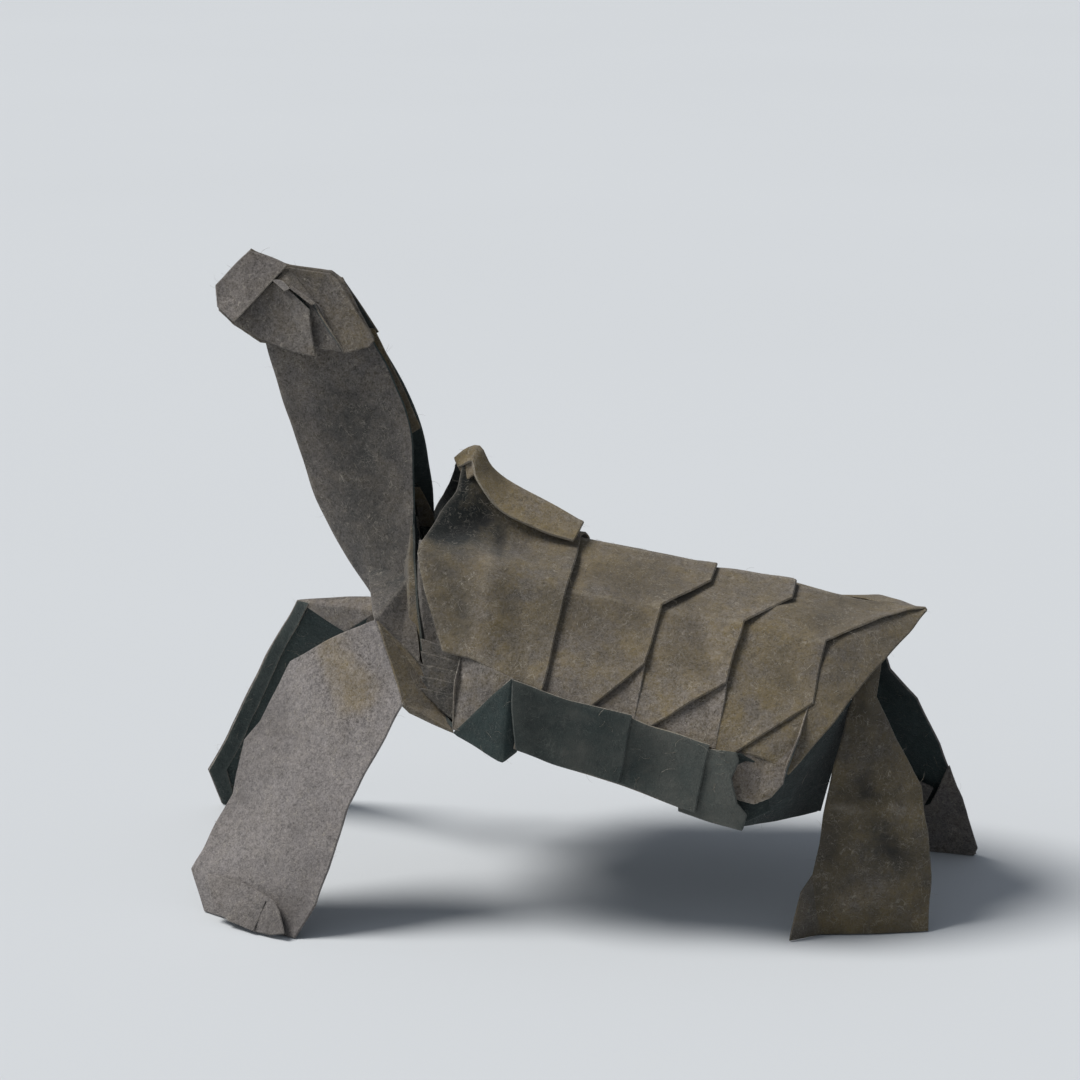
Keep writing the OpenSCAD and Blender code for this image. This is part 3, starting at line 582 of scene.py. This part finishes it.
# the olive patch at the top of this leg is painted warm light where it turns up towards the light; the foot
# gets painted shade
fr, re = leg(*near_front, (0.46, 0.77, -0.4), front_move, 47.5, -0.35, inner_mats=(1, 0), dim=-0.06, marks=[
    ("tone", V(-33, -18, 44), V(-27, -22, 37), 4.5, 1.1), ("dim", V(-52, -23, 3), V(-36, -33, 3), 4, 0.2)
])
# the shoulder, olive as painted warm light, with painted shade
plate([
    hip[0] + [0.3, 0, -0.1], re[1], hip[3], hip[2], hip[1], re[1] + [0.9, 2, -1.9], hip[3] + [1.7, -3.1, -1.9]
], [[0, 1, 2, 3, 4], [1, 5, 6, 2]], tone=1, dim=0.22, t=0.45)

def on_foot(*p):
    return [on(x, y, fr[5], re[5], re[6], lift + 0.9) for x, y, lift in p]

# toe, folded up over the foot, and the crease across it
plate(on_foot(
    (213.5, 874, 0.5), (221, 911.5, 1.1), (236, 921.5, 1), (261.5, 932.5, 1), (277, 936, 1), (291, 935, 1.1),
    (287, 915, 1.2), (280, 903, 0.9), (271.5, 898, 0.5), (244.5, 883, 0.45)
), [[0, 1, 2, 8, 9], [2, 3, 4, 5, 6, 7, 8]], tone=-0.2, dim=0.12)
plate(on_foot((226, 908, 0.9), (236, 922, 1.35), (262, 932.5, 1.4), (273, 903, 1.1)), tone=-0.1, dim=0.18,
    t=LID)

far_foreleg = (
    [[-43.8, 19, 40.5], [-50, 21.5, 29.5], [-56, 24, 18], [-61.5, 26, 7.6], [-60, 29, 0.3]],
    [[-30, 13, 42.8], [-33, 20, 33], [-37, 26, 21], [-41, 31, 9], [-44, 33.5, 0.3]]
)
fr, re = leg(*far_foreleg, (0.46, -0.77, -0.4), mir(front_move), 47.5, 0.1, inner=0.13, inner_mats=(1, 1),
    dim=0.1)
plate([fr[0], fr[0] + [9, -5, -3.7], re[0] + [1.1, -3, -1.5], re[0]], tone=0.3)
plate([re[0], re[1], mir(hip[3]), mir(hip[2]), mir(hip[1])], tone=0.4)

near_rear = (
    [[50, -12.5, 43.2], [51, -15, 36.6], [49.5, -17, 30.8], [47.9, -20, 23], [45.8, -24, 10.5],
        [46.6, -22.5, 0.3]],
    [[55, -10, 41.5], [54.5, -13, 36.5], [57.7, -14, 30.5], [62, -15.6, 23], [63.6, -17, 11],
        [63.8, -19, 0.3]]
)

def on_hind(*p):
    return [on(x, y, V(47.9, -20, 23), V(62, -15.6, 23), V(63.6, -17, 11)) for x, y in p]

folds = on_hind((864, 784), (888, 842), (880, 850), (924, 878), (838, 806), (922, 812), (846, 900),
    (916, 872), (862, 715), (892, 790))
into = V(0.2, 0.96, -0.1)
# painted shade in the pressed-in folds and on the face, painted light on the raised folds
leg(*near_rear, into, rear_move, 43, 1.2, inner_mats=(1, 0), dim=0.42, marks=[
    ("dim", folds[0], folds[1], 2, 0.22), ("dim", folds[2], folds[3], 2.6, 0.25),
    ("dim", folds[4], folds[5], 1, -0.3), ("dim", folds[6], folds[7], 2, -0.25)
], press=[
    (folds[0], folds[1], 2.6, into * 0.9), (folds[2], folds[3], 2.8, into * 0.8),
    (folds[4], folds[5], 1.5, into * -0.5), (folds[6], folds[7], 2, into * -0.4),
    (folds[8], folds[9], 2.2, into * -0.3)
])
plate([[45.9, -23.6, 10.6], [43.9, -25, 7.8], [42.5, -26, 0.3], [48.6, -21.4, 0.3], [48.2, -22, 9]],
    tone=0.6, dim=0.4)
plate([[45.9, -22.9, 9.6], [44.8, -23.6, 5], [45.4, -23, 0.3], [50, -19.6, 0.3], [49, -21, 9]], tone=0,
    dim=0.5)

far_rear = (
    [[50, 11.5, 43.2], [51, 15, 36.6], [52.5, 15, 30], [54, 17.5, 22], [58, 20.5, 10], [62.5, 21.7, 0.3]],
    [[54.5, 9, 40], [56.5, 11, 34], [61, 13.5, 28.5], [65.2, 15.6, 20], [69, 17, 10.5], [71.6, 18.2, 0.3]]
)
# its inner face, reverse side, in painted teal shade
fr, re = leg(*far_rear, (0.2, -0.96, -0.1), mir(rear_move), 43, -0.4, inner=0.12, inner_mats=(1, 1), dim=0.35)
# the foot's brown layers over its reverse side
def on_far(*p):
    return [on(x, y, fr[3], re[3], re[5], lift) for x, y, lift in p]

plate(on_far((921, 806, 0.6), (908, 847, 0.6), (974, 853, 0.6), (977.5, 846, 0.6), (951.5, 765, 0.6),
    (932, 801, 1.1)), [[0, 1, 2, 5], [2, 3, 4, 5]], tone=0.1, dim=0.25)
plate(on_far((906, 776, 0.5), (912, 806, 0.6), (924, 804, 0.9), (934, 785, 1), (918, 779, 0.5)), tone=0.1,
    dim=0.4)

# ---- paper materials, all procedural
SHADE_COLOUR = (0.008, 0.011, 0.0095)      # the dark colour of the painted shade

def paper(name, dark, light, fleck, olive, cool, rough, fibres):
    """Fibrous paper. olive is its stain, cool its paler tint on the face side and a teal painted shade on the
    reverse side, fleck its loose fibres and worn edges.
    """
    m = bpy.data.materials.new(name)
    m.use_nodes = True
    nt = m.node_tree
    nt.nodes.clear()
    def node(kind, **kw):
        n = nt.nodes.new(kind)
        for key, val in kw.items():
            if key in n.inputs:
                n.inputs[key].default_value = val
            else:
                setattr(n, key, val)
        return n
    def link(a, b):
        nt.links.new(a, b)
    coord = node("ShaderNodeTexCoord")
    mm = node("ShaderNodeVectorMath", operation="MULTIPLY")
    mm.inputs[1].default_value = (1000, 1000, 1000)
    link(coord.outputs["Object"], mm.inputs[0])
    def tex(scale, detail, rough_, shift=0.0, distortion=0.0):
        n = node("ShaderNodeTexNoise", Scale=scale, Detail=detail, Roughness=rough_, Distortion=distortion)
        add = node("ShaderNodeVectorMath", operation="ADD")
        add.inputs[1].default_value = (shift, shift * 0.7, -shift)
        link(mm.outputs[0], add.inputs[0])
        link(add.outputs[0], n.inputs["Vector"])
        return n.outputs["Fac"]
    def math_(op, a, b=None, clamp=False):
        n = node("ShaderNodeMath", operation=op, use_clamp=clamp)
        for i, x in enumerate((a, b)):
            if x is None:
                continue
            if isinstance(x, (int, float)):
                n.inputs[i].default_value = x
            else:
                link(x, n.inputs[i])
        return n.outputs[0]
    def span(x, lo, hi, to_lo=0.0, to_hi=1.0):
        n = node("ShaderNodeMapRange")
        for i, val in enumerate((lo, hi, to_lo, to_hi)):
            n.inputs[i + 1].default_value = val
        link(x, n.inputs[0])
        return n.outputs[0]
    def mix(fac, a, b):
        n = node("ShaderNodeMix", data_type="RGBA")
        for sock, x in ((n.inputs[0], fac), (n.inputs[6], a), (n.inputs[7], b)):
            if isinstance(x, (int, float)):
                sock.default_value = x
            elif isinstance(x, tuple):
                sock.default_value = (*x, 1)
            else:
                link(x, sock)
        return n.outputs[2]
    def lines(scale, wide, shift, distortion):
        n = tex(scale, 1.5, 0.4, shift, distortion)
        d = math_("ABSOLUTE", math_("SUBTRACT", n, 0.5))
        return span(d, 0.0, wide, 1.0, 0.0)
    fine = tex(3.2, 6, 0.75)
    speck = tex(1.4, 5, 0.7, 31)
    mottle = tex(0.26, 5, 0.66, 57)
    patch = tex(0.1, 4, 0.6, 23)
    broad = tex(0.045, 3, 0.5, 91)
    grains = span(math_("ADD", math_("MULTIPLY", fine, 0.62), math_("MULTIPLY", speck, 0.38)), 0.4, 0.62)
    body = mix(grains, dark, light)
    tone = node("ShaderNodeAttribute", attribute_name="tone").outputs["Fac"]
    dim = node("ShaderNodeAttribute", attribute_name="dim").outputs["Fac"]
    body = mix(math_("MULTIPLY", span(mottle, 0.42, 0.64), span(tone, 0.0, 0.8, 0.08, 0.7)), body, olive)
    stain = math_("MULTIPLY", tone, span(patch, 0.35, 0.62, 0.35, 1.0))
    body = mix(math_("MULTIPLY", stain, 0.85, clamp=True), body, olive)
    body = mix(math_("MULTIPLY", grains, 0.3), body, light)
    # negative tone: the paler tint, and on the reverse side the teal painted shade
    body = mix(math_("MULTIPLY", tone, -0.8, clamp=True), body, cool)
    body = mix(span(broad, 0.4, 0.66, 0.0, 0.45), body, dark)
    blot = math_("MULTIPLY", span(patch, 0.52, 0.68), math_("MULTIPLY", tone, 0.5), clamp=True)
    body = mix(blot, body, dark)
    # painted shade: where the shade level is high the paper goes to its dark colour, a little mottled
    body = mix(math_("MULTIPLY", dim, span(mottle, 0.36, 0.62, 1.25, 0.75), clamp=True), body, SHADE_COLOUR)
    hair = math_("MULTIPLY", lines(1.0, 0.03, 13, 1.2), span(tex(0.6, 2, 0.5, 77), 0.44, 0.56))
    hair2 = math_("MULTIPLY", lines(1.5, 0.032, 43, 1.4), span(tex(0.8, 2, 0.5, 17), 0.44, 0.56))
    hair3 = math_("MULTIPLY", lines(0.45, 0.016, 3, 2.0), span(tex(0.3, 2, 0.5, 67), 0.5, 0.62))
    body = mix(math_("MULTIPLY", hair, fibres * 0.7), body, fleck)
    body = mix(math_("MULTIPLY", hair2, fibres), body, tuple(x * 0.45 for x in dark))
    body = mix(math_("MULTIPLY", hair3, fibres), body, fleck)
    wear_and_hollow_shade = node("ShaderNodeAttribute", attribute_name="wear_and_hollow_shade").outputs["Fac"]
    worn = math_("MULTIPLY", span(wear_and_hollow_shade, 0.25, 1.0), span(fine, 0.38, 0.62, 0.2, 0.8))
    body = mix(worn, body, fleck)
    # painted shade in hollows: the concave parts of a layer go darker
    body = mix(span(wear_and_hollow_shade, -0.4, 0.0, 0.45, 0.0), body, tuple(x * 0.5 for x in dark))
    shade = node("ShaderNodeBsdfPrincipled")
    shade.inputs["Sheen Weight"].default_value = 0.12
    shade.inputs["Sheen Roughness"].default_value = 0.6
    shade.inputs["Specular IOR Level"].default_value = 0.25
    link(body, shade.inputs["Base Color"])
    link(span(speck, 0.3, 0.7, rough - 0.07, min(1.0, rough + 0.07)), shade.inputs["Roughness"])
    strands = math_("MULTIPLY", math_("SUBTRACT", hair, hair2), 0.25)
    height = math_("ADD", math_("MULTIPLY", fine, 0.8), strands)
    height = math_("ADD", height, math_("MULTIPLY", mottle, 2.4))
    bump = node("ShaderNodeBump", Strength=0.9, Distance=0.0002)
    link(height, bump.inputs["Height"])
    link(bump.outputs[0], shade.inputs["Normal"])
    end = node("ShaderNodeOutputMaterial")
    link(shade.outputs[0], end.inputs[0])
    return m

brown = paper(
    "brown_face", dark=(0.06, 0.052, 0.048), light=(0.3, 0.27, 0.255), fleck=(0.4, 0.36, 0.3),
    olive=(0.2, 0.143, 0.046), cool=(0.27, 0.25, 0.248), rough=0.9, fibres=0.5
)
# the reverse side's teal cast, in cool most of all, is painted shade: the blue cast of its faces that lie in
# shadow
green = paper(
    "green_reverse", dark=(0.013, 0.027, 0.027), light=(0.05, 0.072, 0.066), fleck=(0.17, 0.18, 0.155),
    olive=(0.125, 0.118, 0.1), cool=(0.008, 0.035, 0.036), rough=0.84, fibres=0.3
)
raw_edge = paper(
    "raw_edge", dark=(0.1, 0.085, 0.07), light=(0.36, 0.31, 0.26), fleck=(0.5, 0.45, 0.38),
    olive=(0.18, 0.15, 0.09), cool=(0.3, 0.27, 0.24), rough=0.95, fibres=0.3
)

# ---- one mesh, in metres, standing where the frame's node stands
points = np.concatenate(out["v"])
points[:, 2] = np.maximum(points[:, 2], 0)
points = (points - CENTRE) * 0.001
mesh = bpy.data.meshes.new("folded_paper")
mesh.from_pydata(points.tolist(), [], out["f"])
mesh.polygons.foreach_set("material_index", np.array(out["m"], np.int32))
for name in ("tone", "wear_and_hollow_shade", "dim"):
    level = mesh.attributes.new(name, "FLOAT", "POINT").data
    level.foreach_set("value", np.concatenate(out[name]).astype(np.float32))
for m in (brown, green, raw_edge):
    mesh.materials.append(m)
mesh.shade_smooth()
mesh.set_sharp_from_angle(angle=math.radians(42))
mesh.update()
paper_model = bpy.data.objects.new("folded_paper", mesh)
bpy.context.scene.collection.objects.link(paper_model)
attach(paper_model, "root")
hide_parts("folded_tortoise")

# ---- loose fibres of the paper, lying on its faces and standing off a little at the edges
FIBRES, STEPS, SIDES, THIRD = 3600, 5, 3, 2.094        # THIRD is a third of a turn
FOOT = 0.002                                           # no fibre starts lower than this
rng = np.random.default_rng(7)
tri = np.array([(q[0], q[i], q[i + 1]) for q in out["f"] for i in range(1, len(q) - 1)])
a, b, c = points[tri[:, 0]], points[tri[:, 1]], points[tri[:, 2]]
normal = np.cross(b - a, c - a)
size = np.linalg.norm(normal, axis=1)      # larger faces carry more fibres
pick = rng.choice(len(tri), FIBRES, p=size / size.sum())
verts, faces = [], []
for i in pick:
    r1, r2 = sorted(rng.random(2))
    start = a[i] * r1 + b[i] * (r2 - r1) + c[i] * (1 - r2)
    n = normal[i] / size[i]
    if start[2] < FOOT or abs(n[2]) > 0.98:
        continue
    along = np.cross(n, rng.normal(size=3))
    along /= np.linalg.norm(along)
    across = np.cross(n, along)
    length, turn, rise = rng.uniform(0.0007, 0.0026), rng.normal() * 0.9, rng.uniform(0.02, 0.3)
    width = rng.uniform(0.000014, 0.000028)
    base = len(verts)
    for j in range(STEPS):
        d = j / (STEPS - 1)
        heading = along * math.cos(turn * d) + across * math.sin(turn * d)
        mid = start + heading * length * d + n * (length * rise * d * (1.2 - d) - 0.00002)
        w = width * (1 - 0.6 * d)
        sideways = np.cross(n, heading)
        for k in range(SIDES):
            t = THIRD * k
            q = mid + (sideways * math.cos(t) + n * math.sin(t)) * w
            verts.append((q[0], q[1], max(q[2], 0.0001)))
        if j:
            o, last = base + SIDES * j, base + SIDES * (j - 1)
            faces += [(last + k, last + (k + 1) % SIDES, o + (k + 1) % SIDES, o + k) for k in range(SIDES)]
    faces += [(base, base + 2, base + 1), (o, o + 1, o + 2)]
fuzz = bpy.data.meshes.new("paper_fibres")
fuzz.from_pydata([tuple(map(float, q)) for q in verts], [], faces)
fibre = bpy.data.materials.new("fibre")
fibre.use_nodes = True
shade = fibre.node_tree.nodes["Principled BSDF"]
shade.inputs["Roughness"].default_value = 0.8
noise_node = fibre.node_tree.nodes.new("ShaderNodeTexNoise")
noise_node.inputs["Scale"].default_value = 300
ramp = fibre.node_tree.nodes.new("ShaderNodeValToRGB")
ramp.color_ramp.elements[0].position, ramp.color_ramp.elements[1].position = 0.35, 0.65
ramp.color_ramp.elements[0].color = (0.16, 0.13, 0.085, 1)
ramp.color_ramp.elements[1].color = (0.42, 0.39, 0.34, 1)
fibre.node_tree.links.new(noise_node.outputs["Fac"], ramp.inputs[0])
fibre.node_tree.links.new(ramp.outputs[0], shade.inputs["Base Color"])
fuzz.materials.append(fibre)
fuzz.update()
fibres_model = bpy.data.objects.new("paper_fibres", fuzz)
bpy.context.scene.collection.objects.link(fibres_model)
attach(fibres_model, "root")

# ---- floor, light and camera
def plain(name, colour, rough):
    m = bpy.data.materials.new(name)
    m.use_nodes = True
    nt = m.node_tree
    shade = nt.nodes["Principled BSDF"]
    shade.inputs["Roughness"].default_value = rough
    tex = nt.nodes.new("ShaderNodeTexNoise")
    tex.inputs["Scale"].default_value = 60
    ramp = nt.nodes.new("ShaderNodeValToRGB")
    ramp.color_ramp.elements[0].color = (*[c * 0.97 for c in colour], 1)
    ramp.color_ramp.elements[1].color = (*colour, 1)
    nt.links.new(tex.outputs["Fac"], ramp.inputs[0])
    nt.links.new(ramp.outputs[0], shade.inputs["Base Color"])
    return m

bpy.ops.mesh.primitive_plane_add(size=14, location=(0, 3, 0))
floor = bpy.context.object
floor.name = "floor"
floor.data.materials.append(plain("floor_paper", (0.6, 0.62, 0.64), 0.9))

def sun(name, towards, strength, spread, colour):
    """A soft lamp at a distance, given by the direction from the object towards it."""
    data = bpy.data.lights.new(name, "SUN")
    data.energy, data.angle, data.color = strength, math.radians(spread), colour
    lamp = bpy.data.objects.new(name, data)
    lamp.rotation_euler = Vector(towards).to_track_quat("Z", "Y").to_euler()
    bpy.context.scene.collection.objects.link(lamp)

sun("key", (-0.55, -0.08, 0.83), 3.3, 26, (1, 0.985, 0.96))
sun("side", (-0.85, -0.4, 0.35), 0.4, 60, (0.92, 0.97, 1))
world = bpy.data.worlds.new("studio")
world.use_nodes = True
world.node_tree.nodes["Background"].inputs[0].default_value = (0.8, 0.88, 1, 1)
world.node_tree.nodes["Background"].inputs[1].default_value = 0.26
bpy.context.scene.world = world
bpy.context.scene.view_settings.view_transform = "Standard"

cam = bpy.data.cameras.new("camera")
cam.sensor_fit, cam.sensor_width, cam.lens = "HORIZONTAL", SENSOR, FOCAL * SENSOR / FRAME
cam.clip_start, cam.clip_end = 0.01, 50
camera = bpy.data.objects.new("camera", cam)
camera.location = Vector((EYE - CENTRE) * 0.001)
camera.rotation_euler = Vector(-BACK).to_track_quat("-Z", "Y").to_euler()
bpy.context.scene.collection.objects.link(camera)
bpy.context.scene.camera = camera
